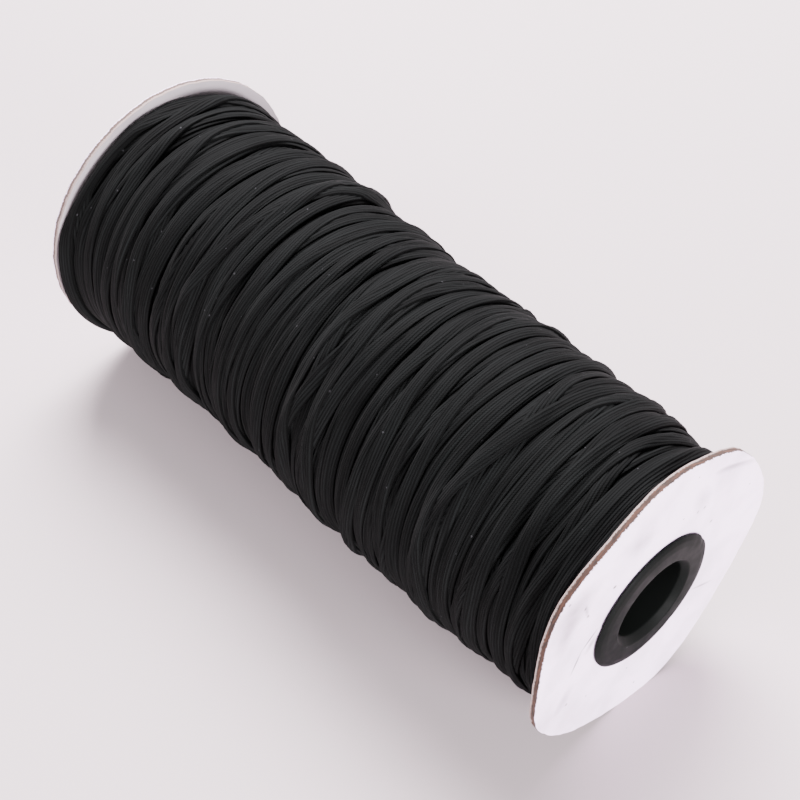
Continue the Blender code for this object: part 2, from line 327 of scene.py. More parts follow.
def paper_liner(name, hex_colour, marks_and_shade):
    """White paper liner: matt, cool white, faintly mottled, with grey smears where it was handled and, on
    the near disc, painted shade along its crease.
    """
    material, tree, shader = new_material(name)
    place = add_node(tree, "ShaderNodeTexCoord").outputs["Object"]
    mottle = add_node(tree, "ShaderNodeTexNoise", {"Vector": place},
                      in_Scale=1 / (MOTTLE_SIZE * MM), in_Detail=4.0)
    grey = add_node(tree, "ShaderNodeMapRange", {0: mottle.outputs[0]}, in_1=0.42, in_2=0.75, in_3=0.0,
                    in_4=0.30).outputs[0]
    cells = add_node(tree, "ShaderNodeTexVoronoi", {"Vector": place}, in_Scale=1 / (SPECK_SPACING * MM))
    chosen = add_node(tree, "ShaderNodeSeparateXYZ", {0: cells.outputs["Color"]})
    size = add_node(tree, "ShaderNodeMath", {0: chosen.outputs[0]}, operation="MULTIPLY",
                    in_1=SPECK_RADIUS)
    near = add_node(tree, "ShaderNodeMath", {0: cells.outputs["Distance"], 1: size.outputs[0]},
                    operation="LESS_THAN")
    dark = add_node(tree, "ShaderNodeMath", {0: chosen.outputs[1]}, operation="GREATER_THAN", in_1=0.8)
    speck = add_node(tree, "ShaderNodeMath", {0: near.outputs[0], 1: dark.outputs[0]}, operation="MULTIPLY")
    grey = add_node(tree, "ShaderNodeMath", {0: speck.outputs[0], 2: grey}, operation="MULTIPLY_ADD",
                    in_1=0.5).outputs[0]
    # each entry greys the liner in a soft patch: real smears and specks, and painted shade along the crease
    for mark in marks_and_shade:
        spot = add_node(tree, "ShaderNodeMapping", {"Vector": place}, vector_type="TEXTURE",
                        in_Location=(0.0, mark.y * MM, (AXIS_HEIGHT + mark.z) * MM),
                        in_Rotation=(math.radians(mark.degrees), 0, 0),
                        in_Scale=(1.0, mark.length * MM, mark.width * MM))
        flat = add_node(tree, "ShaderNodeVectorMath", {0: spot.outputs[0]}, operation="MULTIPLY",
                        in_1=(0, 1, 1))
        soft = add_node(tree, "ShaderNodeTexGradient", {0: flat.outputs[0]}, gradient_type="SPHERICAL")
        grey = add_node(tree, "ShaderNodeMath", {0: soft.outputs[0], 2: grey}, operation="MULTIPLY_ADD",
                        use_clamp=True, in_1=mark.strength).outputs[0]
    colour = add_node(tree, "ShaderNodeMix", {"Factor": grey}, data_type="RGBA")
    colour.inputs[6].default_value = linear(hex_colour)
    colour.inputs[7].default_value = linear(SMUDGE_AND_SHADE_COLOUR)
    tree.links.new(colour.outputs[2], shader.inputs["Base Color"])
    fibre = add_node(tree, "ShaderNodeTexNoise", {"Vector": place},
                     in_Scale=1 / (PAPER_FIBRE_SIZE * MM), in_Detail=3.0)
    bump = add_node(tree, "ShaderNodeBump", {"Height": fibre.outputs[0]}, in_Strength=0.15,
                    in_Distance=0.0001)
    tree.links.new(bump.outputs[0], shader.inputs["Normal"])
    shader.inputs["Roughness"].default_value = 0.6
    return material


def greyboard(name, low, high, fade):
    """Cut edge of the board: brown recycled fibre in thin layers, rough and matt.

    The piece's layer attribute runs from 0 to 1 through the card. Bare board shows between low and
    high, and paper that the punch dragged over the edge shows beyond, with a ragged line between.
    """
    material, tree, shader = new_material(name)
    place = add_node(tree, "ShaderNodeTexCoord").outputs["Object"]
    layers = add_node(tree, "ShaderNodeMapping", {"Vector": place}, in_Scale=(6.0, 1.0, 1.0))
    fibre = add_node(tree, "ShaderNodeTexNoise", {"Vector": layers.outputs[0]},
                     in_Scale=1 / (BOARD_FIBRE_SIZE * MM), in_Detail=3.0)
    share = add_node(tree, "ShaderNodeMapRange", {0: fibre.outputs[0]}, in_1=0.35, in_2=0.65)
    colour = add_node(tree, "ShaderNodeMix", {"Factor": share.outputs[0]}, data_type="RGBA")
    colour.inputs[6].default_value = linear(BOARD_DARK)
    colour.inputs[7].default_value = linear(BOARD_COLOUR)
    layer = add_node(tree, "ShaderNodeAttribute", attribute_name="layer").outputs["Fac"]
    ragged = add_node(tree, "ShaderNodeTexNoise", {"Vector": place},
                      in_Scale=1 / (RAGGED_SIZE * MM), in_Detail=2.0)
    shift = add_node(tree, "ShaderNodeMath", {0: ragged.outputs[0], 2: layer}, operation="MULTIPLY_ADD",
                     in_1=RAGGEDNESS)
    # noise lies about 0.5, so the lines lie half the raggedness further up
    low += RAGGEDNESS / 2
    high += RAGGEDNESS / 2
    from_low = add_node(tree, "ShaderNodeMapRange", {0: shift.outputs[0]}, in_1=low - 0.07,
                        in_2=low + 0.07, in_3=1.0, in_4=fade)
    from_high = add_node(tree, "ShaderNodeMapRange", {0: shift.outputs[0]}, in_1=high - 0.05,
                         in_2=high + 0.05, in_3=0.0, in_4=1.0)
    paper = add_node(tree, "ShaderNodeMath", {0: from_low.outputs[0], 1: from_high.outputs[0]},
                     operation="MAXIMUM")
    edge = add_node(tree, "ShaderNodeMix", {"Factor": from_high.outputs[0]}, data_type="RGBA")
    edge.inputs[6].default_value = linear(FRAYED_COLOUR)
    edge.inputs[7].default_value = linear(LINER_COLOUR)
    both = add_node(tree, "ShaderNodeMix", {"Factor": paper.outputs[0], 6: colour.outputs[2],
                                            7: edge.outputs[2]}, data_type="RGBA")
    tree.links.new(both.outputs[2], shader.inputs["Base Color"])
    bump = add_node(tree, "ShaderNodeBump", {"Height": fibre.outputs[0]}, in_Strength=0.6,
                    in_Distance=0.0002)
    tree.links.new(bump.outputs[0], shader.inputs["Normal"])
    shader.inputs["Roughness"].default_value = 0.9
    return material


def card_disc(name, side, waves, board, outer_liner, creased):
    """One disc, bent by its waves. The rim's middle band is bare board between the two liners."""
    inner = side * DISC_INNER_X + MIDDLE_X
    outer = inner + side * DISC_THICKNESS
    edge = side * LINER
    disc = turned_ring(
        name,
        [(inner, DISC_HOLE), (inner, DISC_RADIUS), (inner + edge, DISC_RADIUS),
         (outer - edge, DISC_RADIUS), (outer, DISC_RADIUS), (outer, DISC_HOLE)],
        DISC_ROUNDING, DISC_STEPS, DISC_GRID,
    )
    places, radius, angle = places_of(disc)
    layer = disc.data.attributes.new("layer", "FLOAT", "POINT")
    layer.data.foreach_set("value", (places[:, 0] + MIDDLE_X - inner) / (outer - inner))
    disc.data.materials.append(outer_liner)
    disc.data.materials.append(board)
    # the inner faces take the liner that is greyed as painted shade
    disc.data.materials.append(shaded_inner_liner)
    middle = (inner + outer) / 2
    for face in disc.data.polygons:
        x = face.center.x / MM
        out_from_axis = math.hypot(face.center.y, face.center.z - AXIS_HEIGHT * MM) / MM
        if out_from_axis > DISC_RADIUS - RIM_BAND:
            face.material_index = 1
        elif (x - middle) * side < 0:
            face.material_index = 2
    bend = disc_bend(waves, radius, angle)
    if creased:
        # the crease runs straight across the rim's upper part, and the card dips along it
        along = (math.cos(CREASE_ANGLE), math.sin(CREASE_ANGLE))
        y = places[:, 1] - CREASE_PLACE[0]
        z = places[:, 2] - CREASE_PLACE[1]
        from_line = y * along[1] - z * along[0]
        down_line = y * along[0] + z * along[1]
        dip = np.exp(-(from_line / CREASE_WIDTH) ** 2) * np.exp(-(down_line / CREASE_LENGTH) ** 4)
        lift = np.clip(from_line / CREASE_LIFT_REACH, 0, 1)
        lift = lift * np.exp(-(down_line / CREASE_LIFT_LENGTH) ** 4)
        bend = bend - CREASE_DEPTH * dip - CREASE_LIFT * lift
    places[:, 0] += bend
    rim = np.clip((radius - RIPPLE_START) / RIPPLE_REACH, 0, 1)
    ripple = sum(r.depth * np.sin(angle * r.lobes + r.phase) for r in RIPPLES)
    places[:, 1] += rim * ripple * np.cos(angle)
    places[:, 2] += rim * ripple * np.sin(angle)
    bottom = np.clip(-(DISC_RADIUS - FLAT_DEPTH) - places[:, 2], 0, None)
    places[:, 2] += bottom
    put_places(disc, places)
    deselect()
    disc.select_set(True)
    bpy.context.view_layer.objects.active = disc
    bpy.ops.object.shade_smooth_by_angle(angle=DISC_SMOOTH_ANGLE)
    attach(disc, "root")
    return disc


near_board = greyboard("greyboard core", 0.24, 0.92, 0.0)
# liner for the inner faces, greyed all over as painted shade of the winding beside them
shaded_inner_liner = paper_liner("white paper liner, painted shade", SHADED_INNER_LINER_COLOUR, ())
handled_liner_with_crease_shade = paper_liner("white paper liner, handled, painted crease shade", LINER_COLOUR, NEAR_MARKS_AND_CREASE_SHADE)
disc_near = card_disc("near_disc_card", 1, NEAR_DISC_WAVES, near_board, handled_liner_with_crease_shade, True)
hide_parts("disc_near")
far_board = greyboard("greyboard core, mostly under paper", 0.35, 0.80, 0.20)
clean_liner = paper_liner("white paper liner", LINER_COLOUR, ())
disc_far = card_disc("far_disc_card", -1, FAR_DISC_WAVES, far_board, clean_liner, False)
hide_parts("disc_far")

# ---- Bushes -------------------------------------------------------------------------------------
# Flanged bushes moulded in dark plastic, pushed through the discs into the ends of the tube. Each
# flange has a flat ring, a sloping rim and a chamfered mouth that leads to the bore.
FLANGE_RADIUS = 15.5
FLANGE_TOP_RADIUS = 13.3
FLANGE_SHOULDER = (0.78, 14.6)  # a point half way down the rounded slope: height and radius
FLANGE_HEIGHT = 1.0
FLANGE_EDGE = 0.25              # height of the upright part of the rim
FLANGE_BASE_X = 75.3            # from the reel's middle to the flange's underside
SLEEVE_RADIUS = 10.0
SLEEVE_LENGTH = 14.0
BORE_RADIUS = 8.8
MOUTH_RADIUS = 10.1
MOUTH_DEPTH = 1.3
BUSH_STEPS = 160
BUSH_ROUNDING = 0.22
BUSH_SMOOTH_ANGLE = math.radians(50)
PLASTIC_COLOUR = "0D0F0E"
PEEL_SIZE = 2.857               # of the soft bumps of the moulded surface
DUST_SPACING = 3.0              # size of the cells of which some hold one grain of dust
DUST_RADIUS = 0.06              # of a grain, as a share of its cell
DUST_COLOUR = "5A5C5C"
BUSH_OFFSET = 0.45              # how far the near flange sits off the reel's axis
BUSH_OFFSET_ANGLE = math.radians(212.0)
OFFSET_DEPTH = 2.0              # below the flange, where that offset has faded out
Flaw = namedtuple("Flaw", "degrees reach depth")    # dents that trimming the sprue left in the rim
FLAWS = (Flaw(164.0, 5.0, 0.30), Flaw(29.0, 4.0, 0.22), Flaw(-60.0, 3.0, 0.12))
FLAW_START_RADIUS = 13.6


def moulded_plastic():
    """Moulded polypropylene: black, satin, with a slight orange-peel surface and fine dust."""
    material, tree, shader = new_material("moulded polypropylene")
    place = add_node(tree, "ShaderNodeTexCoord").outputs["Object"]
    peel = add_node(tree, "ShaderNodeTexNoise", {"Vector": place}, in_Scale=1 / (PEEL_SIZE * MM),
                    in_Detail=2.0)
    bump = add_node(tree, "ShaderNodeBump", {"Height": peel.outputs[0]}, in_Strength=0.12,
                    in_Distance=0.0001)
    tree.links.new(bump.outputs[0], shader.inputs["Normal"])
    wear = add_node(tree, "ShaderNodeMapRange", {0: peel.outputs[0]}, in_1=0.3, in_2=0.7, in_3=0.42,
                    in_4=0.54)
    tree.links.new(wear.outputs[0], shader.inputs["Roughness"])
    cells = add_node(tree, "ShaderNodeTexVoronoi", {"Vector": place}, in_Scale=1 / (DUST_SPACING * MM))
    chosen = add_node(tree, "ShaderNodeSeparateXYZ", {0: cells.outputs["Color"]})
    near = add_node(tree, "ShaderNodeMath", {0: cells.outputs["Distance"]}, operation="LESS_THAN",
                    in_1=DUST_RADIUS)
    picked = add_node(tree, "ShaderNodeMath", {0: chosen.outputs[1]}, operation="GREATER_THAN", in_1=0.7)
    dust = add_node(tree, "ShaderNodeMath", {0: near.outputs[0], 1: picked.outputs[0]},
                    operation="MULTIPLY")
    colour = add_node(tree, "ShaderNodeMix", {"Factor": dust.outputs[0]}, data_type="RGBA")
    colour.inputs[6].default_value = linear(PLASTIC_COLOUR)
    colour.inputs[7].default_value = linear(DUST_COLOUR)
    tree.links.new(colour.outputs[2], shader.inputs["Base Color"])
    shader.inputs["Specular IOR Level"].default_value = 0.018
    return material


plastic = moulded_plastic()
for name, side, node in (("near_bush_moulding", 1, "bush_near"), ("far_bush_moulding", -1, "bush_far")):
    base = side * FLANGE_BASE_X + MIDDLE_X
    outline = [
        (base + side * FLANGE_HEIGHT, FLANGE_TOP_RADIUS),
        (base + side * FLANGE_SHOULDER[0], FLANGE_SHOULDER[1]),
        (base + side * FLANGE_EDGE, FLANGE_RADIUS),
        (base, FLANGE_RADIUS),
        (base, SLEEVE_RADIUS),
        (base - side * SLEEVE_LENGTH, SLEEVE_RADIUS),
        (base - side * SLEEVE_LENGTH, BORE_RADIUS),
        (base + side * (FLANGE_HEIGHT - MOUTH_DEPTH), BORE_RADIUS),
        (base + side * FLANGE_HEIGHT, MOUTH_RADIUS),
    ]
    bush = turned_ring(name, outline, BUSH_ROUNDING, BUSH_STEPS)
    places, radius, angle = places_of(bush)
    for flaw in FLAWS:
        away = (np.degrees(angle) - flaw.degrees + 180) % 360 - 180
        dent = flaw.depth * np.exp(-(away / flaw.reach) ** 2) * (radius > FLAW_START_RADIUS)
        places[:, 1] -= dent * np.cos(angle)
        places[:, 2] -= dent * np.sin(angle)
    if side > 0:
        places[:, 0] += near_lean(radius, angle)
        flange = np.clip((places[:, 0] - base + MIDDLE_X + OFFSET_DEPTH) / OFFSET_DEPTH, 0, 1)
        places[:, 1] += flange * BUSH_OFFSET * np.cos(BUSH_OFFSET_ANGLE)
        places[:, 2] += flange * BUSH_OFFSET * np.sin(BUSH_OFFSET_ANGLE)
    put_places(bush, places)
    bush.data.materials.append(plastic)
    deselect()
    bush.select_set(True)
    bpy.context.view_layer.objects.active = bush
    bpy.ops.object.shade_smooth_by_angle(angle=BUSH_SMOOTH_ANGLE)
    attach(bush, "root")
    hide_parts(node)

# ---- Winding ------------------------------------------------------------------------------------
# One flat band of braided elastic, 3 mm wide, its ribs running lengthwise. A winding machine lays it
# in slanting turns from disc to disc and back, so each pass lies across the passes under it. The
# outer passes are laid here turn by turn, over a smooth core that stands for all that lie deeper.
BAND_WIDTH = 2.95
BAND_THICKNESS = 0.95
PACKED_THICKNESS = 0.80         # what one layer adds, since the stretched bands press into each other
BAND_RIBS = 5
RIB_DEPTH = 0.12
EDGE_ROUNDING = 0.34            # how much thinner the band is at its edges
EDGE_POWER = 4.0                # how late across the band its rounding sets in
TOP_WIDTH = 0.97                # of the ribbed top, as a share of the band's width
SIDE_HEIGHT = 0.25              # where the band is widest, as a share of its thickness
BASE_WIDTH = 0.90               # of the underside, as a share of the band's width
BASE_BULGE = 0.02
STITCH = 0.55                   # length of one stitch of the braid
STITCH_RELIEF = 0.08            # height of a stitch, as a share of a rib's
YARN_COLOUR = "060707"
RIB_PAINTED_SHADE_AND_HIGHLIGHT = (0.22, 1.7)         # painted shade and painted highlight: tone of the grooves and of the ribs, as shares of the yarn's
RIB_SHADES = (0.5, 1.6)         # the same for the darkest and the lightest rib
RIB_SHADE_LENGTH = 50 / 3       # over which one rib's shade drifts
TURN_SHADES = (0.85, 1.15)      # the same for the darkest and the lightest length of the band
TURN_SHADE_LENGTH = 260
# painted shade at the band's edges, as a share of the yarn's colour
PAINTED_EDGE_SHADE = 0.6
LINT_SPACING = 2.2              # size of the cells that may each hold one speck
LINT_RADIUS = 0.11              # of the largest speck, as a share of its cell
LINT_COLOUR = "2A2A2C"
STEPS = 96                      # places around the reel where the band's section is worked out
STEP_LENGTH = 2.0               # about how far apart they are on the winding
PASSES = 10                     # runs from one disc to the other
PITCH = 9.0                     # distance along the reel in one turn
PITCH_SPREAD = 0.45
GUIDE_SWAY = 0.010              # how unevenly the guide travels, as a share of a run
OVERRUN = 2.5                   # how far the guide runs on past the disc, which holds the band
ROUTE_SOFTNESS = STEPS // 6     # steps over which the guide turns round
Wander = namedtuple("Wander", "length distance")    # length in steps, distance along the reel
WANDERS = (Wander(61.0, 0.3), Wander(37.0, 0.2), Wander(143.0, 1.0), Wander(275.0, 2.2))
GUIDE_CLEARANCE = 0.4           # between the band and a flat disc
DISC_CLEARANCE = 0.35           # between the band and the disc as it is bent
BAND_AT_DISC_RADIUS = 28.5      # where the bend of the disc is felt
SLIP = np.linspace(-1.4, 1.4, 15)   # how far the band may slip sideways into a hollow
SLIP_COST = 0.10
SLIP_SOFTNESS = STEPS // 10
SLIP_BLEND = STEPS / 8          # steps over which one turn's slip goes over into the next one's
TILTS = np.linspace(-0.55, 0.55, 23)    # slopes that the band may lie at
TILT_COST = 0.02
TILT_SOFTNESS = 3
BEARING = 0.46                  # share of the width on each side of the middle that bears the band
SINK = 0.05                     # how far the band presses into what carries it
SPAN_ROUNDS = 60                # how often the band's spans are straightened
SPAN_SOFTNESS = 2
LOOK_AHEAD = STEPS // 6         # steps past a turn's end that are worked out with it
LAID_DEPTH = 2.45               # how much the laid passes add to the radius
CORE_DEPTH = 0.2                # how far the core lies under the first laid pass
CORE_END = 0.5                  # from the core's end to the disc
CORE_STATIONS = 49
CORE_BORE = 12.6
MAP_CELL = 0.2                  # size of the winding's height map along the reel
TURNS_PER_PACKING = 6
PACKING = 0.95                  # how much of its unevenness the winding keeps each time it is packed
DRAPE = 0.65                    # how far the band gives into the hollows under it, as a share
DEEPEST_SAG = 0.6
FLOOR_GAP = 0.15                # the lowest turns are pressed flat this far over the floor
EndFill = namedtuple("EndFill", "side degrees reach height")     # degrees and reach run around
END_FILLS = (                   # extra depth close by the discs, where the turns crowd
    EndFill(-1, 0.0, 1000.0, 1.9),
    EndFill(-1, 133.0, 24.0, -4.6),
    EndFill(-1, 187.0, 20.0, 1.3),
    EndFill(1, 0.0, 1000.0, 0.2),
)
END_FILL_WIDTH = 2.2
SEED = 7                        # of the band's route
PIECES = 4                      # the band is cut in pieces, which keeps each one's mesh light
HEAP_ANGLE = math.radians(209.0)    # the side that the winding is heaped to, low on the -Y side
Station = namedtuple("Station", "x radius heap")
WINDING_STATIONS = (
    Station(-73.2, 30.1, 1.7),
    Station(-70.0, 29.9, 1.2),
    Station(-66.0, 29.4, 0.3),
    Station(-58.0, 29.8, 0.4),
    Station(-45.0, 29.7, 0.1),
    Station(-30.0, 29.2, -0.1),
    Station(-9.0, 28.7, 0.4),
    Station(12.0, 29.4, 0.8),
    Station(24.0, 29.1, 0.5),
    Station(34.0, 29.1, 0.5),
    Station(45.0, 29.5, 0.4),
    Station(59.0, 28.9, -0.1),
    Station(67.0, 27.8, 0.3),
    Station(73.2, 26.4, 0.2),
)


def winding_form(x, angle):
    """Mean radius of the whole winding at x, heaped to one side as its stations say."""
    places = np.array([s.x for s in WINDING_STATIONS])
    index = np.clip(np.searchsorted(places, x) - 1, 0, len(places) - 2)
    share = np.clip((x - places[index]) / (places[index + 1] - places[index]), 0, 1)
    ease = share * share * (3 - 2 * share)
    radii = np.array([s.radius for s in WINDING_STATIONS])
    heaps = np.array([s.heap for s in WINDING_STATIONS])
    radius = radii[index] + ease * (radii[index + 1] - radii[index])
    heap = heaps[index] + ease * (heaps[index + 1] - heaps[index])
    return radius + heap * np.cos(angle - HEAP_ANGLE)


class LaidSurface:
    """Height map of the winding, around by along, that grows as the band is laid."""

    def __init__(self):
        self.low = -DISC_INNER_X
        self.columns = int(round(2 * DISC_INNER_X / MAP_CELL)) + 1
        self.angles = np.arange(STEPS) * 2 * math.pi / STEPS
        x = self.low + np.arange(self.columns) * MAP_CELL
        self.form = winding_form(x[None, :], self.angles[:, None])
        for fill in END_FILLS:
            away = (np.degrees(self.angles) - fill.degrees + 180) % 360 - 180
            around = fill.height * np.exp(-(away / fill.reach) ** 2)
            by_disc = np.exp(-((x - fill.side * DISC_INNER_X) / END_FILL_WIDTH) ** 2)
            self.form += around[:, None] * by_disc[None, :]
        self.height = self.form - LAID_DEPTH

    def pack(self):
        """Even out the map a little, as the pull of the band does."""
        level = self.form + np.median(self.height - self.form)
        self.height = level + (self.height - level) * PACKING

    def under(self, steps, x):
        """Heights at these steps around (n) and places along (n by k)."""
        place = np.clip((x - self.low) / MAP_CELL, 0, self.columns - 1.001)
        column = place.astype(int)
        share = place - column
        rows = (steps % STEPS)[:, None]
        return self.height[rows, column] * (1 - share) + self.height[rows, column + 1] * share

    def lay(self, steps, x, top):
        """Raise the map to the band's top, given across the band (n by k) at each step."""
        for row, places, heights in zip(steps % STEPS, x, top):
            first = max(int(math.ceil((places[0] - self.low) / MAP_CELL)), 0)
            last = min(int((places[-1] - self.low) / MAP_CELL), self.columns - 1)
            if last < first:
                continue
            cells = np.arange(first, last + 1)
            new = np.interp(self.low + cells * MAP_CELL, places, heights)
            self.height[row, cells] = np.maximum(self.height[row, cells], new)


def smooth(values, reach):
    """Running mean over reach steps on both sides, the ends held."""
    kernel = np.hanning(2 * reach + 3)[1:-1]
    kernel /= kernel.sum()
    padded = np.concatenate([np.full(reach, values[0]), values, np.full(reach, values[-1])])
    return np.convolve(padded, kernel, "valid")


def band_route(rng):
    """Place along the reel at every step of the whole band: a to-and-fro helix that wanders."""
    half = DISC_INNER_X - BAND_WIDTH / 2 - GUIDE_CLEARANCE
    places = []
    for number in range(PASSES):
        pitch = PITCH * (1 + PITCH_SPREAD * rng.uniform(-1, 1))
        count = int(round(2 * (half + OVERRUN) / pitch * STEPS))
        share = np.arange(count) / count
        # the guide turns round softly at the discs, and its speed varies a little on the way
        travel = share + GUIDE_SWAY * np.sin(2 * math.pi * (share * 3 + rng.random()))
        travel = (travel - travel[0]) / (travel[-1] - travel[0])
        run = (half + OVERRUN) * (2 * travel - 1)
        places.append(run if number % 2 else -run)
    x = np.concatenate(places)
    x = smooth(x, ROUTE_SOFTNESS)
    step = np.arange(len(x))
    for wander in WANDERS:
        start = rng.uniform(0, 6.28)
        x = x + wander.distance * np.sin(2 * math.pi * step / wander.length + start)
    return np.clip(x, -half, half)


def rest_on(surface, steps, x):
    """Height of the band's middle and its tilt where it bears on what lies under it."""
    across = np.linspace(-BEARING, BEARING, 9) * BAND_WIDTH
    under = surface.under(steps, x[:, None] + across[None, :])
    needed = (under[:, None, :] - TILTS[None, :, None] * across[None, None, :]).max(2)
    best = (needed + TILT_COST * np.abs(TILTS)[None, :]).argmin(1)
    return needed[np.arange(len(x)), best], TILTS[best]


def pull_tight(height, before):
    """Let the band span the hollows under it in straight lines, as a stretched band does."""
    lowest = height.copy()
    arc = math.cos(2 * math.pi / STEPS)
    for _ in range(SPAN_ROUNDS):
        left = np.concatenate([[before if before is not None else height[0]], height[:-1]])
        right = np.concatenate([height[1:], [height[-1]]])
        height = np.maximum(lowest, 0.5 * (left + right) * arc)
    return height


def lay_band(rng):
    """Lay the whole band turn by turn.

    Returns its place and tilt at each step, and the height of its underside at the places across.
    """
    surface = LaidSurface()
    route = band_route(rng)
    count = len(route)
    across = np.linspace(-0.5, 0.5, 9) * BAND_WIDTH
    edge = PACKED_THICKNESS * (1 - EDGE_ROUNDING * np.abs(2 * across / BAND_WIDTH) ** EDGE_POWER)
    limit = DISC_INNER_X - BAND_WIDTH / 2 - DISC_CLEARANCE
    laid_x = np.zeros(count)
    laid_tilt = np.zeros(count)
    laid_form = np.zeros((count, len(across)))
    before = None
    slide_before = 0.0
    for start in range(0, count, STEPS):
        stop = min(start + STEPS, count)
        reach = min(stop + LOOK_AHEAD, count)
        steps = np.arange(start, reach)
        x = route[start:reach].copy()
        # the band slips down what it leans on
        cost = [rest_on(surface, steps, x + slip)[0] + SLIP_COST * slip ** 2 for slip in SLIP]
        slide = smooth(SLIP[np.stack(cost).argmin(0)], SLIP_SOFTNESS)
        blend = np.clip(np.arange(len(slide)) / SLIP_BLEND, 0, 1)
        slide = slide_before * (1 - blend) + slide * blend
        x = x + slide
        angle = steps * 2 * math.pi / STEPS
        near = limit + disc_bend(NEAR_DISC_WAVES, BAND_AT_DISC_RADIUS, angle)
        far = -limit + disc_bend(FAR_DISC_WAVES, BAND_AT_DISC_RADIUS, angle)
        x = np.clip(x, far, near)
        tilt = smooth(rest_on(surface, steps, x)[1], TILT_SOFTNESS)
        under = surface.under(steps, x[:, None] + across[None, :])
        height = (under - tilt[:, None] * across[None, :])[:, 1:-1].max(1) - SINK
        height = smooth(pull_tight(height, before), SPAN_SOFTNESS)
        flat = height[:, None] + tilt[:, None] * across[None, :]
        sag = np.clip(flat - under, 0, DEEPEST_SAG) * DRAPE
        form = flat - sag
        keep = stop - start
        laid_x[start:stop] = x[:keep]
        laid_tilt[start:stop] = tilt[:keep]
        laid_form[start:stop] = form[:keep]
        surface.lay(steps[:keep], x[:keep, None] + across[None, :], form[:keep] + edge[None, :])
        if (start // STEPS + 1) % TURNS_PER_PACKING == 0:
            surface.pack()
        before = height[keep - 1]
        slide_before = slide[keep] if keep < len(slide) else slide[-1]
    return laid_x, laid_tilt, laid_form, across


def band_section():
    """Outline across the band, as (place across, height over the underside), ribs on top.

    Also gives u of each point, which runs from 0 to 1 over the top and on to 2 underneath.
    """
    points = []
    u = []
    count = 2 * BAND_RIBS
    for index in range(count + 1):
        share = index / count
        place = (share - 0.5) * 2
        rounding = 1 - EDGE_ROUNDING * abs(place) ** EDGE_POWER
        rib = -RIB_DEPTH if index % 2 == 0 else 0.0
        points.append((place * TOP_WIDTH, BAND_THICKNESS * rounding + rib))
        u.append(share)
    points.append((1.0, SIDE_HEIGHT * BAND_THICKNESS))
    points += [(BASE_WIDTH, 0.0), (0.0, -BASE_BULGE), (-BASE_WIDTH, 0.0)]
    points.append((-1.0, SIDE_HEIGHT * BAND_THICKNESS))
    u += [1.1, 1.2, 1.5, 1.8, 1.9]
    return np.array(points), np.array(u)


def band_mesh(name, first, last, laid):
    """Closed mesh of the band between two steps; its UV is u of the section and the length in mm."""
    laid_x, laid_tilt, laid_form, across = laid
    section, section_u = band_section()
    around = len(section)
    steps = np.arange(first, last + 1)
    angle = steps * 2 * math.pi / STEPS
    offset = section[:, 0] * BAND_WIDTH / 2
    lift = section[:, 1]
    form = np.array([np.interp(offset, across, laid_form[step]) for step in steps])
    tilt = np.arctan(laid_tilt[steps])
    slant = np.gradient(laid_x)[steps] / (2 * math.pi / STEPS) / form.mean(1)
    slant = np.arctan(slant)
    radius = form + lift[None, :] * np.cos(tilt)[:, None]
    x = laid_x[steps][:, None] + offset[None, :] * (np.cos(tilt) * np.cos(slant))[:, None]
    x = x - lift[None, :] * np.sin(tilt)[:, None]
    swing = -offset[None, :] * np.sin(slant)[:, None] / radius
    turned = angle[:, None] + swing
    radius = np.minimum(radius, (AXIS_HEIGHT - FLOOR_GAP) / np.maximum(-np.sin(turned), 0.5))
    points = np.stack(
        [x + MIDDLE_X, radius * np.cos(turned), AXIS_HEIGHT + radius * np.sin(turned)], -1
    )
    count = len(steps)
    vertices = points.reshape(-1, 3) * MM
    ring = np.arange(around)
    following = (ring + 1) % around
    base = (np.arange(count - 1) * around)[:, None]
    quads = np.stack(
        [base + ring, base + following, base + around + following, base + around + ring], -1
    ).reshape(-1, 4)
    faces = quads.tolist()
    faces.append(list(range(around - 1, -1, -1)))
    faces.append([(count - 1) * around + index for index in range(around)])
    mesh = bpy.data.meshes.new(name)
    mesh.from_pydata(vertices.tolist(), [], faces)
    lengths = np.linalg.norm(np.diff(points.mean(1), axis=0), axis=1)
    along = np.concatenate([[0], np.cumsum(lengths)]) + first * STEP_LENGTH
    shares = np.append(section_u, 2.0)
    uv = mesh.uv_layers.new(name="length_and_width")
    loops = np.zeros((len(mesh.loops), 2))
    column = np.tile(ring, count - 1)
    row = np.repeat(np.arange(count - 1), around)
    corner_u = np.stack([shares[column], shares[column + 1], shares[column + 1], shares[column]], -1)
    corner_v = np.stack([along[row], along[row], along[row + 1], along[row + 1]], -1)
    loops[:4 * len(quads), 0] = corner_u.reshape(-1)
    loops[:4 * len(quads), 1] = corner_v.reshape(-1)
    uv.data.foreach_set("uv", loops.reshape(-1))
    mesh.shade_smooth()
    piece = bpy.data.objects.new(name, mesh)
    bpy.context.scene.collection.objects.link(piece)
    return piece


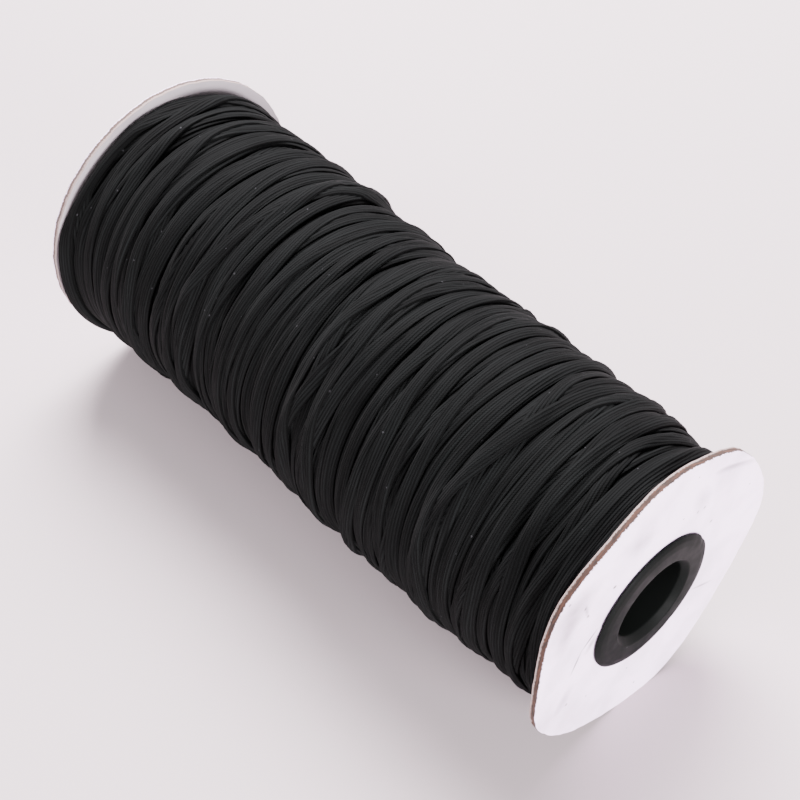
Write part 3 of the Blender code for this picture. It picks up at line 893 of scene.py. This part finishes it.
def braided_elastic():
    """Braided elastic: matt black polyester yarn over rubber cords, a rib over each cord.

    The colour is painted darker in the grooves and at the edges (painted shade) and lighter on the ribs
    (painted highlight), and the faint sheen of the yarn's hairs lifts what is seen at a slant.
    """
    material, tree, shader = new_material("braided elastic")
    place = add_node(tree, "ShaderNodeUVMap", uv_map="length_and_width")
    split = add_node(tree, "ShaderNodeSeparateXYZ", {0: place.outputs[0]})
    across = split.outputs[0]
    along = split.outputs[1]
    # ribs, with dark grooves between them
    turn = add_node(tree, "ShaderNodeMath", {0: across}, operation="MULTIPLY",
                    in_1=2 * math.pi * BAND_RIBS)
    wave = add_node(tree, "ShaderNodeMath", {0: turn.outputs[0]}, operation="COSINE")
    rib = add_node(tree, "ShaderNodeMapRange", {0: wave.outputs[0]}, in_1=1.0, in_2=-0.6, in_3=0.0,
                   in_4=1.0)
    # stitches of the braid: short slanting beads along each rib
    beat = add_node(tree, "ShaderNodeMath", {0: along}, operation="MULTIPLY", in_1=2 * math.pi / STITCH)
    slant = add_node(tree, "ShaderNodeMath", {0: turn.outputs[0], 1: beat.outputs[0]}, operation="ADD")
    bead = add_node(tree, "ShaderNodeMath", {0: slant.outputs[0]}, operation="SINE")
    relief = add_node(tree, "ShaderNodeMath", {0: bead.outputs[0], 2: rib.outputs[0]},
                      operation="MULTIPLY_ADD", in_1=STITCH_RELIEF)
    # painted shade and painted highlight: the yarn's colour follows the relief, darker in the grooves and
    # lighter on the ribs and stitches
    light = add_node(tree, "ShaderNodeMapRange", {0: relief.outputs[0]}, in_1=-0.1, in_2=1.1,
                     in_3=RIB_PAINTED_SHADE_AND_HIGHLIGHT[0], in_4=RIB_PAINTED_SHADE_AND_HIGHLIGHT[1])
    # yarn shade: every length of the band differs a little from its neighbours
    length = add_node(tree, "ShaderNodeMath", {0: along}, operation="MULTIPLY",
                      in_1=1 / TURN_SHADE_LENGTH)
    turn_shade = add_node(tree, "ShaderNodeTexNoise", {"W": length.outputs[0]}, noise_dimensions="1D",
                          in_Scale=1.0, in_Detail=2.0)
    turn_tone = add_node(tree, "ShaderNodeMapRange", {0: turn_shade.outputs[0]}, in_1=0.3, in_2=0.7,
                         in_3=TURN_SHADES[0], in_4=TURN_SHADES[1])
    # and so does each rib: whole numbers of ribs lie 3.7 apart in the noise, so each has its own shade
    number = add_node(tree, "ShaderNodeMath", {0: across}, operation="MULTIPLY", in_1=BAND_RIBS)
    whole = add_node(tree, "ShaderNodeMath", {0: number.outputs[0]}, operation="FLOOR")
    rib_place = add_node(tree, "ShaderNodeCombineXYZ", {0: whole.outputs[0], 1: along})
    rib_scale = add_node(tree, "ShaderNodeMapping", {0: rib_place.outputs[0]},
                         in_Scale=(3.7, 1 / RIB_SHADE_LENGTH, 1.0))
    rib_shade = add_node(tree, "ShaderNodeTexNoise", {"Vector": rib_scale.outputs[0]}, in_Scale=1.0,
                         in_Detail=1.0)
    rib_tone = add_node(tree, "ShaderNodeMapRange", {0: rib_shade.outputs[0]}, in_1=0.3, in_2=0.7,
                        in_3=RIB_SHADES[0], in_4=RIB_SHADES[1])
    # painted shade: the colour is darkened at the rounded edges, which lie between the neighbouring turns
    middle = add_node(tree, "ShaderNodeMath", {0: across}, operation="SUBTRACT", in_1=0.5)
    side = add_node(tree, "ShaderNodeMath", {0: middle.outputs[0]}, operation="ABSOLUTE")
    edge = add_node(tree, "ShaderNodeMapRange", {0: side.outputs[0]}, in_1=0.42, in_2=0.52, in_3=1.0,
                    in_4=PAINTED_EDGE_SHADE)
    both = add_node(tree, "ShaderNodeMath", {0: rib_tone.outputs[0], 1: edge.outputs[0]},
                    operation="MULTIPLY")
    tone = add_node(tree, "ShaderNodeMath", {0: both.outputs[0], 1: light.outputs[0]},
                    operation="MULTIPLY")
    gain = add_node(tree, "ShaderNodeMath", {0: turn_tone.outputs[0], 1: tone.outputs[0]},
                    operation="MULTIPLY")
    yarn = add_node(tree, "ShaderNodeMix", {"Factor": gain.outputs[0]}, data_type="RGBA",
                    clamp_factor=False)
    yarn.inputs[6].default_value = linear("000000")
    yarn.inputs[7].default_value = linear(YARN_COLOUR)
    # lint and dust: pale specks, a few to the square centimetre
    object_place = add_node(tree, "ShaderNodeTexCoord").outputs["Object"]
    cells = add_node(tree, "ShaderNodeTexVoronoi", {"Vector": object_place},
                     in_Scale=1 / (LINT_SPACING * MM))
    chosen = add_node(tree, "ShaderNodeSeparateXYZ", {0: cells.outputs["Color"]})
    size = add_node(tree, "ShaderNodeMath", {0: chosen.outputs[0]}, operation="MULTIPLY",
                    in_1=LINT_RADIUS)
    speck = add_node(tree, "ShaderNodeMath", {0: cells.outputs["Distance"], 1: size.outputs[0]},
                     operation="LESS_THAN")
    picked = add_node(tree, "ShaderNodeMath", {0: chosen.outputs[1]}, operation="GREATER_THAN", in_1=0.75)
    lint = add_node(tree, "ShaderNodeMath", {0: speck.outputs[0], 1: picked.outputs[0]},
                    operation="MULTIPLY")
    dusty = add_node(tree, "ShaderNodeMix", {"Factor": lint.outputs[0], 6: yarn.outputs[2]},
                     data_type="RGBA")
    dusty.inputs[7].default_value = linear(LINT_COLOUR)
    tree.links.new(dusty.outputs[2], shader.inputs["Base Color"])
    bump = add_node(tree, "ShaderNodeBump", {"Height": relief.outputs[0]}, in_Strength=0.9,
                    in_Distance=0.00012)
    tree.links.new(bump.outputs[0], shader.inputs["Normal"])
    shader.inputs["Roughness"].default_value = 0.7
    shader.inputs["Specular IOR Level"].default_value = 0.02
    shader.inputs["Sheen Weight"].default_value = 0.009
    shader.inputs["Sheen Roughness"].default_value = 0.75
    return material


elastic = braided_elastic()
depth = LAID_DEPTH + CORE_DEPTH
ends = DISC_INNER_X - CORE_END
outline = [(x + MIDDLE_X, winding_form(np.array([x]), np.array([math.pi / 2]))[0] - depth)
           for x in np.linspace(-ends, ends, CORE_STATIONS)]
outline += [(ends + MIDDLE_X, CORE_BORE), (-ends + MIDDLE_X, CORE_BORE)]
core = turned_ring("wound_core", outline, 0, STEPS)
places, radius, angle = places_of(core)
outer = radius > CORE_BORE + 1      # all but the wall of the hole for the tube
scale = np.where(outer, (winding_form(places[:, 0], angle) - depth) / radius, 1)
places[:, 1] *= scale
places[:, 2] *= scale
share = (places[:, 0] + ends) / (2 * ends)
places[:, 0] += share * disc_bend(NEAR_DISC_WAVES, radius, angle)
places[:, 0] += (1 - share) * disc_bend(FAR_DISC_WAVES, radius, angle)
put_places(core, places)
core.data.shade_smooth()
core.data.materials.append(elastic)
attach(core, "root")
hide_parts("winding")
laid = lay_band(np.random.default_rng(SEED))
total_steps = len(laid[0])
cuts = [round(total_steps * share / PIECES) for share in range(PIECES + 1)]
for number, (first, last) in enumerate(zip(cuts, cuts[1:]), 1):
    band = band_mesh(f"band_{number}", first, min(last, total_steps - 1), laid)
    band.data.materials.append(elastic)
    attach(band, "root")
    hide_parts("winding")
